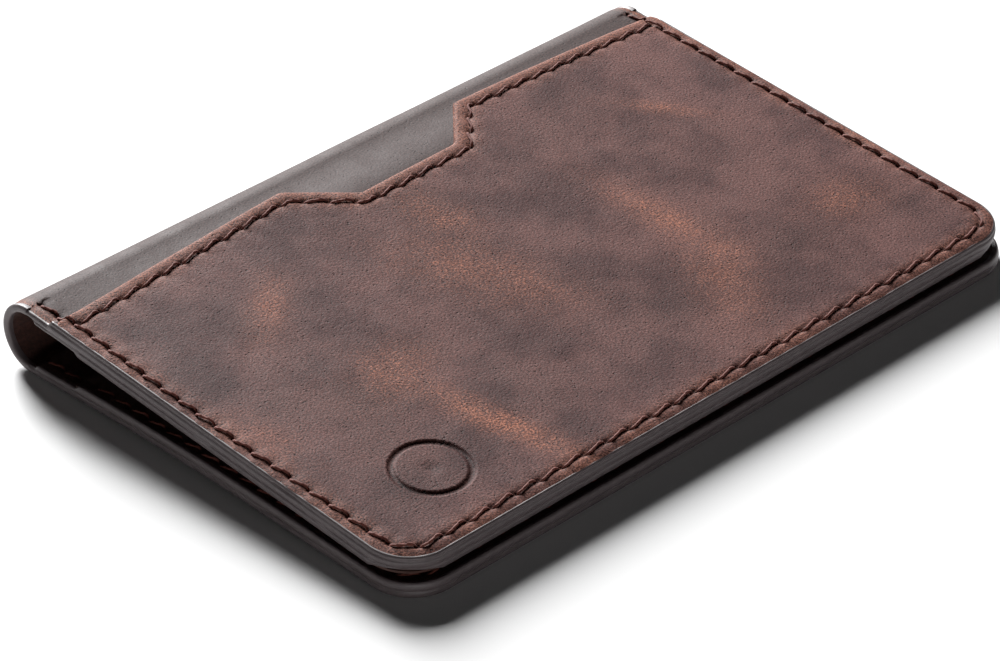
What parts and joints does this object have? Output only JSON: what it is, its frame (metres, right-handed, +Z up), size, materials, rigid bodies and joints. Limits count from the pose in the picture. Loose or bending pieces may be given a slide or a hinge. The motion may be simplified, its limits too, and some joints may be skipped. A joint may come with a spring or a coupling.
{
  "type": "bifold card wallet",
  "caption": "Slim stitched leather bifold wallet, closed, with a stepped-notch quick pocket outside, card slots inside and a fold that opens flat.",
  "frame": {"origin": "middle of the footprint, on the surface that the closed wallet lies on", "axes": "+X along the fold, +Y from the free edge to the fold, +Z up through the front half"},
  "size_m": [0.102, 0.0705, 0.0098],
  "materials": {
    "cover_leather": "waxed pull-up hide with fine pores and lighter worn patches",
    "inner_leather": "smooth thin lining hide",
    "lining_cloth": "plain woven pocket cloth",
    "thread": "waxed polyester sewing thread",
    "edge_paint": "semi-gloss edge paint"
  },
  "bodies": {
    "back_half": {"cover_back": "cover_leather", "back_liner": "inner_leather", "back_card_slot": "inner_leather", "back_stitching": "thread", "back_edge_paint": "edge_paint"},
    "fold_part_1": {"cover_fold_1": "cover_leather"},
    "fold_part_2": {"cover_fold_2": "cover_leather"},
    "fold_part_3": {"cover_fold_3": "cover_leather"},
    "fold_part_4": {"cover_fold_4": "cover_leather"},
    "fold_part_5": {"cover_fold_5": "cover_leather"},
    "front_half": {"cover_front": "cover_leather", "quick_pocket": "cover_leather", "quick_pocket_lining": "lining_cloth", "front_liner": "inner_leather", "front_card_slot": "inner_leather", "quick_pocket_stitching": "thread", "front_stitching": "thread", "front_edge_paint": "edge_paint"}
  },
  "joints": [
    {"name": "fold_bend_1", "type": "hinge", "parent": "back_half", "child": "fold_part_1", "pos_m": [0, 0.0318, 0.0004], "axis": [-1, 0, 0], "range_deg": [0, 30]},
    {"name": "fold_bend_2", "type": "hinge", "parent": "fold_part_1", "child": "fold_part_2", "pos_m": [0, 0.03378, 0.00158], "axis": [-1, 0, 0], "range_deg": [0, 30]},
    {"name": "fold_bend_3", "type": "hinge", "parent": "fold_part_2", "child": "fold_part_3", "pos_m": [0, 0.03488, 0.00359], "axis": [-1, 0, 0], "range_deg": [0, 30]},
    {"name": "fold_bend_4", "type": "hinge", "parent": "fold_part_3", "child": "fold_part_4", "pos_m": [0, 0.0348, 0.00589], "axis": [-1, 0, 0], "range_deg": [0, 30]},
    {"name": "fold_bend_5", "type": "hinge", "parent": "fold_part_4", "child": "fold_part_5", "pos_m": [0, 0.03356, 0.00783], "axis": [-1, 0, 0], "range_deg": [0, 30]},
    {"name": "fold_bend_6", "type": "hinge", "parent": "fold_part_5", "child": "front_half", "pos_m": [0, 0.03151, 0.00886], "axis": [-1, 0, 0], "range_deg": [0, 30]}
  ],
  "couplings": [
    {"joint": "fold_bend_1", "follows": "fold_bend_6", "ratio": 1},
    {"joint": "fold_bend_2", "follows": "fold_bend_6", "ratio": 1},
    {"joint": "fold_bend_3", "follows": "fold_bend_6", "ratio": 1},
    {"joint": "fold_bend_4", "follows": "fold_bend_6", "ratio": 1},
    {"joint": "fold_bend_5", "follows": "fold_bend_6", "ratio": 1}
  ]
}
